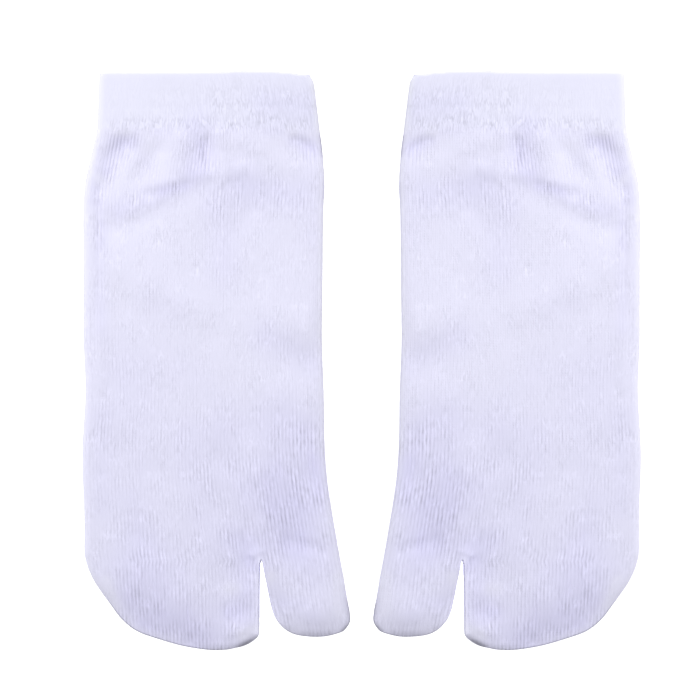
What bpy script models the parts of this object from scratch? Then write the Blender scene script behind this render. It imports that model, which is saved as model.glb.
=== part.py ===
"""A pair of split-toed ankle socks, knitted in white cotton, laid flat side by side with their soles down.

Each sock is one closed solid: a knitted tube that is open at the cuff, with a double cuff, a four-toe
pouch, a big-toe pouch and the split between them. Metres, +Z up. The cuffs point to +Y, the big toes meet
over the mirror plane X = 0, and the origin is under the middle of the pair, on the surface it lies on.
"""

import math

import bmesh
import bpy
import numpy as np
from mathutils import Vector
from mathutils.geometry import delaunay_2d_cdt

MM = 0.001

# Driving dimensions, in millimetres.
HALF_LENGTH = 115.6      # from the middle of the pair to the cuff's rim, and to the tips of the four toes
CUFF_DEPTH = 22.4        # from the rim to the cuff's lower edge
CUFF_EDGE = 2.0          # over which the cuff thins to the leg
LEG_WALL = 1.6           # the knit's thickness
CUFF_WALL = 2.0          # the double cuff's thickness
CUFF_GAP = 0.8           # between the two layers, at the mouth
LEG_GAP = 0.9            # between the two layers, under the cuff
LEAST_GAP = 0.4          # between them where a fold sinks the upper one
TOE_GAP = 2.8            # between the two layers, in the pouches
TOE_START = 10.0         # where along Y the layers start to part towards the toes
TOE_FULL = -88.0         # where along Y they are fully parted
SIDE_ROLL = 3.6          # how far in from a side edge the upper layer reaches its full height
TOE_ROLL = 10.0          # the same at the tips
TOE_ROLL_START = -70.0   # where along Y the side's roll starts to become the tip's
TOE_ROLL_FULL = -104.0
FOLD_MARGIN = 7.0        # how far in from an edge a fold reaches its full height
DEEPEST_FOLD = 1.0       # how far folds that meet sink the upper layer together
INNER_FOLDS = 0.9        # the share of a fold that the inside of the upper layer follows
UNDER_ROLL = 2.0         # how far in from an edge the lower layer touches the surface
INNER_ROLL = 0.8         # the same for the rounded ends of the hollow

MOUTH = HALF_LENGTH - CUFF_WALL / 2        # along Y: the layers end here, and the rounded rim starts
CUFF_LOWER_EDGE = HALF_LENGTH - CUFF_DEPTH

# Both side edges, from the mouth to the split.
SIDES = (
    # along Y, outer side and inner side, both out from the mirror plane
    (MOUTH, 104.8, 20.4),
    (111.0, 105.0, 19.5),
    (102.0, 105.6, 18.1),
    (92.8, 106.2, 16.8),
    (82.8, 108.5, 15.6),
    (70.8, 111.0, 14.9),
    (58.8, 111.7, 15.4),
    (28.8, 111.6, 15.7),
    (8.0, 111.5, 15.9),
    (-12.0, 110.8, 15.2),
    (-33.0, 111.9, 14.8),
    (-46.0, 111.8, 13.9),
    (-56.0, 111.3, 12.5),
    (-68.0, 111.1, 10.5),
    (-77.6, 111.0, 8.7),
)

# Round the four toes, from the outer side to the split.
FOUR_TOES = (
    # along Y, out from the mirror plane
    (-82.0, 109.9),
    (-89.0, 106.4),
    (-97.0, 100.7),
    (-103.1, 96.0),
    (-107.8, 90.0),
    (-110.9, 81.6),
    (-113.7, 71.7),
    (-115.5, 61.5),
    (-115.5, 54.6),
    (-114.5, 47.9),
    (-111.4, 42.3),
    (-105.5, 40.7),
    (-97.0, 40.4),
    (-89.0, 40.4),
    (-81.0, 40.2),
)

# The top of the split, between the two pouches.
SPLIT_TOP = (-80.4, 39.85)

# Round the big toe, from the split to the inner side.
BIG_TOE = (
    # along Y, out from the mirror plane
    (-81.0, 39.5),
    (-88.5, 38.4),
    (-94.0, 37.1),
    (-101.0, 35.0),
    (-106.2, 32.0),
    (-109.1, 27.4),
    (-110.3, 21.0),
    (-110.1, 14.6),
    (-108.3, 8.2),
    (-104.0, 4.8),
    (-99.5, 4.4),
    (-93.0, 5.9),
    (-85.0, 7.2),
)

# The largest folds of the upper layer: one end and the other, along Y and out, then width and rise.
FOLDS = (
    # name                   along   out    along   out   width  rise
    ("heel lying beneath", 90.0, 96.0, 79.0, 42.0, 11.0, 0.60),
    ("ankle lip outer", 61.3, 92.0, 71.5, 67.0, 2.6, 0.32),
    ("ankle lip middle", 69.5, 80.5, 75.3, 64.0, 4.4, 0.76),
    ("ankle lip inner", 74.0, 56.0, 75.6, 44.0, 5.0, 0.60),
    ("ankle crease outer", 53.4, 98.5, 58.0, 84.0, 4.2, -0.52),
    ("ankle crease middle", 66.7, 84.0, 71.8, 67.5, 3.8, -0.55),
    ("ankle crease inner", 72.7, 58.6, 72.5, 47.5, 3.8, -0.34),
    ("cuff valley outer", 89.6, 94.5, 82.5, 101.8, 3.5, -0.95),
    ("cuff valley middle", 87.6, 62.3, 79.5, 61.4, 2.7, -0.92),
    ("cuff valley inner", 89.6, 27.5, 86.5, 20.5, 2.2, -0.72),
    ("leg valley outer", 84.5, 81.4, 73.6, 89.3, 3.8, -0.58),
    ("leg valley side", 85.2, 94.2, 71.0, 103.2, 3.8, -0.86),
    ("leg ridge middle", 89.0, 74.7, 71.4, 78.0, 5.2, 0.78),
    ("leg ridge inner", 88.2, 48.5, 74.0, 18.5, 5.5, 0.44),
    ("outer swell", 38.4, 96.8, 34.4, 87.2, 8.4, 0.60),
    ("outer ridge", 27.3, 83.6, 25.5, 74.7, 6.3, 0.46),
    ("instep swell", 16.5, 30.8, 11.8, 19.1, 6.8, 0.72),
    ("instep hollow", -1.0, 31.5, -0.4, 17.0, 7.7, -0.88),
    ("ball hollow", -39.0, 55.5, -41.2, 54.0, 6.2, -0.85),
    ("big toe hollow", -49.3, 23.1, -71.4, 27.2, 9.5, -0.90),
    ("big toe crease", -67.0, 26.0, -75.2, 16.3, 6.5, -0.78),
    ("big toe swell", -99.6, 20.0, -101.4, 16.8, 6.0, 0.58),
    ("outer toe swell", -85.0, 87.5, -92.5, 73.0, 10.0, 0.75),
)

# Spacing of the mesh.
EDGE_RINGS = (0.35, 1.1, 2.3, 4.3)   # distances in from the edge of the upper layer's rings of points
UNDER_RINGS = (0.3, 0.9, UNDER_ROLL)  # the same on the lower layer, up to where it lies flat
INNER_RINGS = (0.3, INNER_ROLL)      # the same in the hollow, in from its own edge
RING_CLEARANCE = 0.96                # nearer the edge than this share of its ring, a point is left out
GRID_CLEARANCE = 0.55                # of a grid step, between the last ring and the grid's points
SIDE_STEP = 5.0                      # between points along the side edges
TOE_STEP = 3.2                       # between points round the toes
CURVE_STEPS = 8                      # points read from a smooth curve between two of its corners
OUTER_GRID = 4.4                     # between points over the upper layer
INNER_GRID = 7.0                     # the same inside the hollow
MOUTH_STEPS = 24                     # faces across each layer at the mouth
RIM_STEPS = 4                        # faces round the rim
MERGE_DISTANCE = 1e-5
SMOOTH_BELOW = math.radians(50)

KNIT_COLOUR = (0.77, 0.76, 0.94, 1.0)
KNIT_ROUGHNESS = 0.92


def clear_scene():
    for found in list(bpy.data.objects):
        bpy.data.objects.remove(found, do_unlink=True)


def knit_material(name):
    material = bpy.data.materials.new(name)
    material.use_nodes = True
    shader = material.node_tree.nodes["Principled BSDF"]
    shader.inputs["Base Color"].default_value = KNIT_COLOUR
    shader.inputs["Roughness"].default_value = KNIT_ROUGHNESS
    shader.inputs["Metallic"].default_value = 0.0
    material.diffuse_color = KNIT_COLOUR
    return material


def ease(value, start, end):
    """0 at start and 1 at end, with no kink at either."""
    share = np.clip((value - start) / (end - start), 0.0, 1.0)
    return share * share * (3.0 - 2.0 * share)


def rounded(share):
    """A quarter circle: 0 at an edge, 1 where the roll is over."""
    left = 1.0 - np.clip(share, 0.0, 1.0)
    return np.sqrt(1.0 - left * left)


# The edge, as points (along Y, out from the mirror plane).

def smooth_path(corners, step):
    """Points about a step apart along a smooth curve through the corners, both ends included."""
    corners = np.array(corners, float)
    padded = np.vstack([2 * corners[0] - corners[1], corners, 2 * corners[-1] - corners[-2]])
    fine = [corners[0]]
    for before, start, end, after in zip(padded, padded[1:], padded[2:], padded[3:]):
        for share in np.arange(1, CURVE_STEPS + 1) / CURVE_STEPS:
            fine.append(0.5 * (
                2 * start + (end - before) * share
                + (2 * before - 5 * start + 4 * end - after) * share ** 2
                + (3 * start - before - 3 * end + after) * share ** 3
            ))
    fine = np.array(fine)
    run = np.concatenate([[0.0], np.cumsum(np.linalg.norm(np.diff(fine, axis=0), axis=1))])
    wanted = np.linspace(0.0, run[-1], round(run[-1] / step) + 1)
    return np.column_stack([np.interp(wanted, run, fine[:, axis]) for axis in (0, 1)])


def edge_line():
    """Down the outer side, round both pouches and up the inner side."""
    outer = [(along, out) for along, out, _ in SIDES]
    inner = [(along, out) for along, _, out in reversed(SIDES)]
    down = smooth_path(outer, SIDE_STEP)
    four = smooth_path([outer[-1], *FOUR_TOES], TOE_STEP)
    big = smooth_path([*BIG_TOE, inner[0]], TOE_STEP)
    up = smooth_path(inner, SIDE_STEP)
    return np.vstack([down, four[1:], [SPLIT_TOP], big, up[1:]])


def inward(line):
    """Unit vectors into the cloth at each point of the edge, straight across at the mouth."""
    run = np.gradient(line, axis=0)
    turned = np.column_stack([-run[:, 1], run[:, 0]])
    turned[0], turned[-1] = (0.0, -1.0), (0.0, 1.0)
    return turned / np.linalg.norm(turned, axis=1)[:, None]


def inset_of(line, points):
    """How far each point is from the edge."""
    nearest = np.full(len(points), np.inf)
    for start, run in zip(line, np.diff(line, axis=0)):
        share = np.clip(((points - start) @ run) / (run @ run), 0.0, 1.0)
        nearest = np.minimum(nearest, np.linalg.norm(points - start - share[:, None] * run, axis=1))
    return nearest


def is_inside(line, points):
    """Which points lie within the edge line, closed across the mouth."""
    found = np.zeros(len(points), bool)
    for (along_a, out_a), (along_b, out_b) in zip(line, np.roll(line, -1, axis=0)):
        if along_a == along_b:
            continue
        spans = (along_a > points[:, 0]) != (along_b > points[:, 0])
        crossing = out_a + (points[:, 0] - along_a) / (along_b - along_a) * (out_b - out_a)
        found ^= spans & (points[:, 1] < crossing)
    return found


# The four faces of the two layers, as heights.

def wall(along):
    """The knit's thickness: the cuff is double."""
    share = ease(along, CUFF_LOWER_EDGE - CUFF_EDGE / 2, CUFF_LOWER_EDGE + CUFF_EDGE / 2)
    return LEG_WALL + (CUFF_WALL - LEG_WALL) * share


def gap(along):
    """The hollow's height between the two layers."""
    toes = LEG_GAP + (TOE_GAP - LEG_GAP) * ease(along, TOE_START, TOE_FULL)
    return toes + (CUFF_GAP - LEG_GAP) * ease(along, CUFF_LOWER_EDGE, CUFF_LOWER_EDGE + CUFF_EDGE)


def mid_height(along):
    """Where a side edge lies, half way up."""
    return wall(along) + gap(along) / 2


def relief(along, out):
    """How far the folds lift or sink the upper layer."""
    height = np.zeros_like(along)
    for _, along_a, out_a, along_b, out_b, width, rise in FOLDS:
        run_along, run_out = along_b - along_a, out_b - out_a
        share = (along - along_a) * run_along + (out - out_a) * run_out
        share = np.clip(share / (run_along ** 2 + run_out ** 2), 0.0, 1.0)
        off = np.hypot(along - along_a - share * run_along, out - out_a - share * run_out)
        height += rise * np.exp(-((off / width) ** 2))
    return np.maximum(height, -DEEPEST_FOLD)


def upper_face(along, out, inset, fold_share=1.0):
    """The upper layer's outside."""
    full = 2 * wall(along) + gap(along)
    roll = SIDE_ROLL + (TOE_ROLL - SIDE_ROLL) * ease(along, TOE_ROLL_START, TOE_ROLL_FULL)
    folds = fold_share * relief(along, out) * ease(inset, 0.0, FOLD_MARGIN)
    middle = mid_height(along)
    return middle + (full - middle) * rounded(inset / roll) + folds


def lower_face(along, out, inset):
    """The lower layer's outside, flat on the surface but for its rolled edge."""
    return mid_height(along) * (1.0 - rounded(inset / UNDER_ROLL))


def hollow_floor(along, out, inset):
    """The lower layer's inside. Here and in the ceiling, inset counts from the hollow's own edge."""
    middle = mid_height(along)
    return middle - (middle - wall(along)) * rounded(inset / INNER_ROLL)


def hollow_ceiling(along, out, inset):
    """The upper layer's inside."""
    middle = mid_height(along)
    top = upper_face(along, out, inset + wall(along), INNER_FOLDS) - wall(along)
    top = np.maximum(top, wall(along) + LEAST_GAP)
    return middle + (top - middle) * rounded(inset / INNER_ROLL)


# The mesh.

def sheet(line, rings, grid, face):
    """One face of a layer: its points as (along, out, height), and its triangles.

    The first points are the edge line's, then those across the mouth from the inner side to the outer.
    """
    share = 0.5 - 0.5 * np.cos(np.pi * np.arange(1, MOUTH_STEPS) / MOUTH_STEPS)
    across = line[-1, 1] + share * (line[0, 1] - line[-1, 1])
    border = np.vstack([line, np.column_stack([np.full_like(across, MOUTH), across])])
    points = [border]
    for ring in rings:
        moved = (line + inward(line) * ring)[1:-1]
        points.append(moved[inset_of(line, moved) > RING_CLEARANCE * ring])
    if grid:
        alongs = np.arange(MOUTH - grid, -HALF_LENGTH, -grid)
        outs = np.arange(line[:, 1].min(), line[:, 1].max(), grid)
        lattice = np.array([(along, out) for along in alongs for out in outs])
        clear = inset_of(line, lattice) > rings[-1] + GRID_CLEARANCE * grid
        points.append(lattice[clear & is_inside(line, lattice)])
    points = np.vstack(points)
    flat = [Vector((out, along)) for along, out in points]
    within_border = 1
    _, _, triangles, sources, _, _ = delaunay_2d_cdt(
        flat, [], [list(range(len(border)))], within_border, MERGE_DISTANCE
    )
    triangles = [[sources[corner][0] for corner in triangle] for triangle in triangles]
    height = face(points[:, 0], points[:, 1], inset_of(line, points))
    return np.column_stack([points, height]), triangles


def rim_rows(outer, inner):
    """Rows of points round the rim, from the outer loop at the mouth towards the inner one."""
    middle, half = (outer + inner) / 2, (outer - inner) / 2
    rows = []
    for turn in np.pi * np.arange(1, RIM_STEPS) / RIM_STEPS:
        row = middle + half * np.cos(turn)
        row[:, 0] = MOUTH + (HALF_LENGTH - MOUTH) * np.sin(turn)
        rows.append(row)
    return rows


class TubeMesh:
    """The mesh of one sock, at +X (side 1) or mirrored at -X (side -1)."""

    def __init__(self, side):
        self.side = side
        self.mesh = bmesh.new()

    def add(self, points):
        return [
            self.mesh.verts.new((self.side * out * MM, along * MM, height * MM))
            for along, out, height in points
        ]

    def add_skin(self, line, upper, lower):
        """An upper and a lower sheet that share their edge. Gives the loop of vertices at the mouth."""
        edge = self.add(upper[0][:len(line)])
        loop = []
        for (points, triangles), order in ((upper, -1), (lower, 1)):
            verts = edge + self.add(points[len(line):])
            for triangle in triangles:
                self.mesh.faces.new([verts[corner] for corner in triangle])
            mouth = verts[len(line):len(line) + MOUTH_STEPS - 1]
            loop += [edge[0], *reversed(mouth)] if order < 0 else [edge[-1], *mouth]
        return loop

    def places(self, loop):
        return np.array([(v.co.y, self.side * v.co.x, v.co.z) for v in loop]) / MM

    def add_rim(self, outer, inner):
        between = [self.add(row) for row in rim_rows(self.places(outer), self.places(inner))]
        rows = [outer, *between, inner]
        for before, after in zip(rows, rows[1:]):
            for at, vert in enumerate(before):
                following = (at + 1) % len(before)
                self.mesh.faces.new([vert, before[following], after[following], after[at]])

    def finish(self, name):
        bmesh.ops.recalc_face_normals(self.mesh, faces=self.mesh.faces)
        data = bpy.data.meshes.new(name)
        self.mesh.to_mesh(data)
        self.mesh.free()
        data.shade_smooth()
        data.set_sharp_from_angle(angle=SMOOTH_BELOW)
        return data


def add_sock(name, side):
    line = edge_line()
    hollow = line + inward(line) * wall(line[:, 0])[:, None]
    tube = TubeMesh(side)
    outer = tube.add_skin(
        line,
        sheet(line, EDGE_RINGS, OUTER_GRID, upper_face),
        sheet(line, UNDER_RINGS, None, lower_face),
    )
    inner = tube.add_skin(
        hollow,
        sheet(hollow, INNER_RINGS, INNER_GRID, hollow_ceiling),
        sheet(hollow, INNER_RINGS, None, hollow_floor),
    )
    tube.add_rim(outer, inner)
    data = tube.finish(name)
    data.materials.append(knit_material(name + "_knit"))
    bpy.context.scene.collection.objects.link(bpy.data.objects.new(name, data))


clear_scene()
add_sock("right_sock", -1)
add_sock("left_sock", 1)
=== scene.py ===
"""A pair of split-toed ankle socks in white cotton knit, laid flat side by side with their soles down.

Each sock is one closed knitted tube: an outer skin whose wales are real grooves, a rounded rim at the cuff
and an inner skin. Lengths in the tables are millimetres. A place is given as (along, out): along Y towards
the cuffs, and out from the mirror plane between the two socks.
"""

import math

import bpy
import numpy as np
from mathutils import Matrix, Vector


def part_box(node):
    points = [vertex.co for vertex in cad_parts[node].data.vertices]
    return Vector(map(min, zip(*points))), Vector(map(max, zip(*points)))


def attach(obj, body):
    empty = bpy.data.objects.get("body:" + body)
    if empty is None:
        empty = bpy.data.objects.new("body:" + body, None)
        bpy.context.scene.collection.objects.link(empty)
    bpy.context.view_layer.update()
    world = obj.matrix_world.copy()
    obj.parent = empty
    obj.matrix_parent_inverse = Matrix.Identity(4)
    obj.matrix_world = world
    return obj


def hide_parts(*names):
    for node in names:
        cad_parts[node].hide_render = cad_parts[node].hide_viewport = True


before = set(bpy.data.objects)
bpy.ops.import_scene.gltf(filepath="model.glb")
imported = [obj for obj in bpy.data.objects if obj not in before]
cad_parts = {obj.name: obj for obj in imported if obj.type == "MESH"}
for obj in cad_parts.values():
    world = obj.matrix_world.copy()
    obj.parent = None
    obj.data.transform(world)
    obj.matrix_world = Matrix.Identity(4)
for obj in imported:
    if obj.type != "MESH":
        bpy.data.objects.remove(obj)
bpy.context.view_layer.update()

MM = 0.001
SOCKS = {"left_sock": 1, "right_sock": -1}     # which side of the mirror plane each lies on

# The knit.
WALES = 69                 # stitch columns across one layer
BIG_TOE_WALES = 21         # of them, those that run into the big-toe pouch
WALE_SAMPLES = 4           # points of the mesh across a wale
WALE_PROFILE = (0.0, 0.6, 1.0, 0.6)      # rise from the groove's floor: between two wales, then across one
GROOVE_DEPTH = 0.030       # between two wales where the knit is at rest
OPEN_GROOVE_DEPTH = 0.18   # added where the wales are drawn apart
CUFF_GROOVE_SHARE = 0.45   # of those depths, on the brushed double cuff
LEAST_GROOVE_SHARE = 0.15  # of its depth, which a groove keeps in the flattest patch of the knit
GROOVE_FADE = 1.6          # from the folded edges, over which the grooves fade out
WALE_UNEVENNESS = 0.55     # of a groove's depth, from wale to wale
WALE_NOISE_STEP = 0.83     # of that noise, for each wale
WALE_HUMP = 9.0            # length of its humps
PATCH_UNEVENNESS = 1.3     # of a groove's depth, from patch to patch
PATCH_WALES = 4.0          # across such a patch
PATCH_LENGTH = 10.0
COURSE = 1.05              # height of a stitch along its wale
WANDER = 0.10              # how far a wale strays sideways
WANDER_HUMP = (4.0, 14.0)  # size of that noise's humps, across and along
WANDER_FADE = (0.5, 4.0)   # from the folded edges, where the straying starts and is full

# The layers.
HALF_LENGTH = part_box("left_sock")[1][1] / MM
CUFF_DEPTH = 22.4
CUFF_LOWER_EDGE = HALF_LENGTH - CUFF_DEPTH
CUFF_EDGE = 3.6            # along which the welt's brushed knit passes into the leg's
CUFF_FALL = 11.0           # along which its thickness does
LEG_WALL = 1.6             # the knit's thickness
CUFF_WALL = 2.0            # and the double cuff's
WALL_GROWTH = (CUFF_LOWER_EDGE - CUFF_FALL, CUFF_LOWER_EDGE + 1.0)      # along Y: from one to the other
MOUTH = HALF_LENGTH - CUFF_WALL / 2
CUFF_GAP = 0.8             # the hollow between the two layers: in the cuff
LEG_GAP = 0.9              # in the leg
TOE_GAP = 2.8              # in the toes
LEAST_GAP = 0.4            # where a fold sinks the upper layer
TOE_START = 10.0           # along Y: from here the hollow widens towards the toes
TOE_FULL = -88.0
SIDE_ROLL = 3.6            # how far in from a side the upper layer rolls over
TOE_ROLL = 3.2             # the same round the tips
TOE_ROLL_START = -70.0
TOE_ROLL_FULL = -104.0
SPLIT_ROLL = 0.4           # and beside the split
SPLIT_REACH = (4.0, 12.0)  # from the split, where the roll widens to the other edges'
ROLL_ARC = 1.25            # length of a rolled edge's surface, for each unit of its plan
FOLD_MARGIN = 7.0          # how far in from an edge a fold reaches its full height
TOE_FALL_LIMIT = 0.8       # the most that a pouch's tip sinks, of the upper layer's height over the middle
UNDER_ROLL = 2.0           # how far in from an edge the lower layer touches the surface
INNER_ROLL = 0.8           # the same for the rounded ends of the hollow
SPLIT_LEVEL = -79.4        # along Y: the top of the split between the two pouches
SPLIT_TOP = (SPLIT_LEVEL, 40.15)
SPLIT_END = (-106.0, 39.0)

# The edge down the outer side, round the four toes and up the split.
FOUR_TOE_CORNERS = ((-83.5, 109.2), (-105.5, 40.9))
OUTER_EDGE = (
    # along, out
    (MOUTH, 105.2),
    (111.0, 105.4),
    (102.0, 105.7),
    (92.8, 106.2),
    (82.8, 108.5),
    (76.8, 109.9),
    (70.8, 111.0),
    (58.8, 111.7),
    (28.8, 111.6),
    (8.0, 111.5),
    (-12.0, 110.8),
    (-33.0, 111.9),
    (-46.0, 111.8),
    (-56.0, 111.3),
    (-68.0, 111.1),
    (-76.0, 111.1),
    (SPLIT_LEVEL, 110.5),
    FOUR_TOE_CORNERS[0],
    (-89.0, 106.4),
    (-97.0, 100.7),
    (-103.1, 96.0),
    (-107.8, 90.0),
    (-110.9, 81.6),
    (-113.7, 71.7),
    (-115.3, 61.5),
    (-115.3, 54.8),
    (-114.6, 50.8),
    (-113.8, 47.4),
    (-112.6, 44.8),
    (-111.0, 42.6),
    (-109.8, 41.5),
    (-108.5, 41.0),
    FOUR_TOE_CORNERS[1],
    (-97.0, 40.85),
    (-89.0, 40.8),
    (-84.0, 40.65),
    (-82.2, 40.65),
    (-81.0, 40.6),
    (-80.0, 40.5),
)

# The edge down the inner side, round the big toe and up the split.
BIG_TOE_CORNERS = ((-103.9, 4.7), (-101.0, 35.2))
INNER_EDGE = (
    # along, out
    (MOUTH, 20.5),
    (113.4, 19.6),
    (110.0, 18.9),
    (102.0, 17.9),
    (92.8, 16.8),
    (82.8, 15.6),
    (70.8, 14.9),
    (58.8, 15.4),
    (28.8, 15.7),
    (8.0, 15.9),
    (-12.0, 15.2),
    (-33.0, 14.8),
    (-46.0, 13.9),
    (-56.0, 12.5),
    (-68.0, 10.5),
    (SPLIT_LEVEL, 8.5),
    (-85.0, 7.4),
    (-93.0, 6.1),
    (-97.0, 5.4),
    (-100.2, 4.8),
    BIG_TOE_CORNERS[0],
    (-106.7, 6.3),
    (-108.3, 8.4),
    (-109.9, 14.6),
    (-110.0, 21.0),
    (-108.9, 27.4),
    (-105.9, 32.0),
    BIG_TOE_CORNERS[1],
    (-94.0, 37.05),
    (-88.5, 38.15),
    (-84.0, 39.15),
    (-82.2, 39.5),
    (-81.0, 39.65),
    (-80.0, 39.8),
)

# The mouth's line: how far it rises along Y, by its place out from the mirror plane.
MOUTH_LINE = (
    # out, rise
    (19.0, -0.1),
    (22.3, -0.4),
    (25.5, -0.4),
    (28.7, 0.3),
    (32.0, 0.4),
    (35.0, 0.8),
    (51.0, 0.95),
    (54.0, 0.6),
    (64.0, 0.5),
    (67.0, 0.4),
    (105.0, 0.4),
)
MOUTH_REACH = 96.0         # where the rise starts

# The largest folds of the upper layer: one end and the other, then width and rise.
UPPER_FOLDS = (
    # name                   along   out    along   out   width  rise
    ("heel lying beneath", 90.0, 96.0, 79.0, 42.0, 11.0, 0.60),
    ("ankle lip outer", 61.3, 92.0, 71.5, 67.0, 2.6, 0.32),
    ("ankle lip middle", 69.5, 80.5, 75.3, 64.0, 4.4, 0.76),
    ("ankle lip inner", 74.0, 56.0, 75.6, 44.0, 5.0, 0.60),
    ("ankle crease outer", 53.4, 98.5, 58.0, 84.0, 4.2, -0.52),
    ("ankle crease middle", 66.8, 84.0, 71.2, 67.5, 3.8, -0.45),
    ("ankle crease inner", 72.7, 58.6, 72.5, 47.5, 3.8, -0.34),
    ("cuff valley outer", 88.2, 94.8, 81.8, 101.8, 3.4, -0.95),
    ("cuff valley middle", 87.6, 62.3, 79.5, 61.4, 2.7, -0.92),
    ("cuff valley inner", 88.8, 26.6, 85.2, 19.8, 2.2, -0.72),
    ("leg valley outer", 84.5, 81.4, 73.6, 89.3, 3.8, -0.58),
    ("leg valley side", 85.2, 94.2, 71.0, 103.2, 3.8, -0.86),
    ("leg ridge middle", 89.0, 74.7, 71.4, 78.0, 5.2, 0.78),
    ("leg ridge inner", 88.2, 48.5, 74.0, 18.5, 5.5, 0.44),
    ("outer swell", 38.4, 96.8, 34.4, 87.2, 8.4, 0.60),
    ("outer ridge", 27.3, 83.6, 25.5, 74.7, 6.3, 0.46),
    ("instep swell", 16.5, 30.8, 11.8, 19.1, 6.8, 0.72),
    ("instep hollow", -1.0, 31.5, -0.4, 17.0, 7.7, -0.88),
    ("ball hollow", -39.0, 55.5, -41.2, 54.0, 6.2, -0.85),
    ("big toe hollow", -49.3, 23.1, -71.4, 27.2, 9.5, -0.90),
    ("big toe crease", -67.0, 26.0, -75.2, 16.3, 6.5, -0.78),
    ("big toe swell", -99.6, 20.0, -101.4, 16.8, 6.0, 0.58),
    ("outer toe swell", -85.0, 87.5, -92.5, 73.0, 10.0, 0.75),
)

# More folds and dents of the upper layer, as uneven as soft cloth leaves them.
MINOR_FOLDS = (
    # name                   along   out    along   out   width  rise
    ("outer side crease", 68.5, 105.6, 28.5, 105.2, 1.7, -0.50),
    ("leg valley edge", 87.8, 22.9, 80.6, 18.2, 2.1, -0.55),
    ("leg ridge under cuff", 95.5, 61.7, 86.0, 43.2, 5.5, 0.50),
    ("leg ridge by trough", 90.6, 56.6, 74.8, 54.2, 2.8, 0.65),
    ("leg ridge beside trough", 90.5, 69.6, 77.4, 72.8, 4.2, 0.36),
    ("ankle crease line", 66.9, 85.5, 70.8, 70.5, 1.7, -0.42),
    ("ankle crease line inner", 71.2, 69.0, 71.8, 60.5, 1.6, -0.16),
    ("crease hook", 73.0, 46.6, 61.3, 43.5, 3.0, -0.45),
    ("crease tail", 54.9, 108.1, 55.4, 99.3, 3.0, -0.18),
    ("instep dent", 49.3, 58.3, 42.0, 61.0, 9.2, -0.62),
    ("instep dent upper", 57.1, 44.7, 47.3, 34.5, 10.0, -0.75),
    ("instep dent inner", 29.3, 51.1, 34.2, 42.8, 8.4, -0.50),
    ("instep swell lower", -5.6, 33.9, -19.4, 24.8, 10.0, 0.75),
    ("outer ridge lower", -18.9, 102.8, -23.4, 97.8, 6.0, 0.65),
    ("ball swell", -36.5, 44.0, -42.5, 42.8, 4.6, 0.65),
    ("ball dent outer", -45.3, 82.8, -47.9, 71.5, 7.2, -0.56),
    ("forefoot dent", -62.9, 92.4, -62.4, 88.8, 3.8, -0.22),
    ("forefoot dent lower", -69.0, 90.0, -73.0, 85.9, 3.3, -0.42),
    ("forefoot dent inner", -57.4, 56.2, -65.5, 47.5, 9.5, -0.78),
    ("big toe shoulder", -45.6, 41.8, -65.5, 38.5, 3.1, 0.78),
    ("big toe crease line", -71.5, 29.0, -75.5, 16.0, 2.6, -0.55),
    ("big toe inner dent", -59.8, 24.5, -61.4, 15.2, 7.5, -0.60),
    ("big toe second crease", -75.0, 27.6, -86.5, 17.0, 6.0, -0.75),
    ("split pinch", -70.5, 39.5, -75.5, 40.0, 2.5, 0.33),
    ("split crease outer", -74.1, 46.6, -80.0, 46.2, 5.6, -0.80),
    ("split crease inner", -73.8, 38.0, -79.0, 37.6, 1.8, -0.26),
    ("four toe dip", -85.0, 52.0, -85.0, 46.0, 7.2, -0.80),
    ("four toe dip lower", -100.5, 52.0, -98.5, 46.5, 5.6, -0.50),
    ("four toe corner", -107.0, 50.0, -105.0, 45.5, 4.0, 1.00),
    ("outer side swell", 13.0, 105.2, -9.0, 104.8, 3.4, 0.70),
    ("instep swell side", 18.0, 19.0, 12.0, 15.5, 6.0, 0.50),
    ("instep ridge", 22.0, 71.0, 20.0, 64.0, 6.0, 0.35),
    ("split bar", -77.3, 43.4, -75.7, 39.4, 1.3, 0.50),
    ("below the split bar", -79.0, 44.8, -79.9, 41.8, 1.4, -0.50),
)

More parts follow.
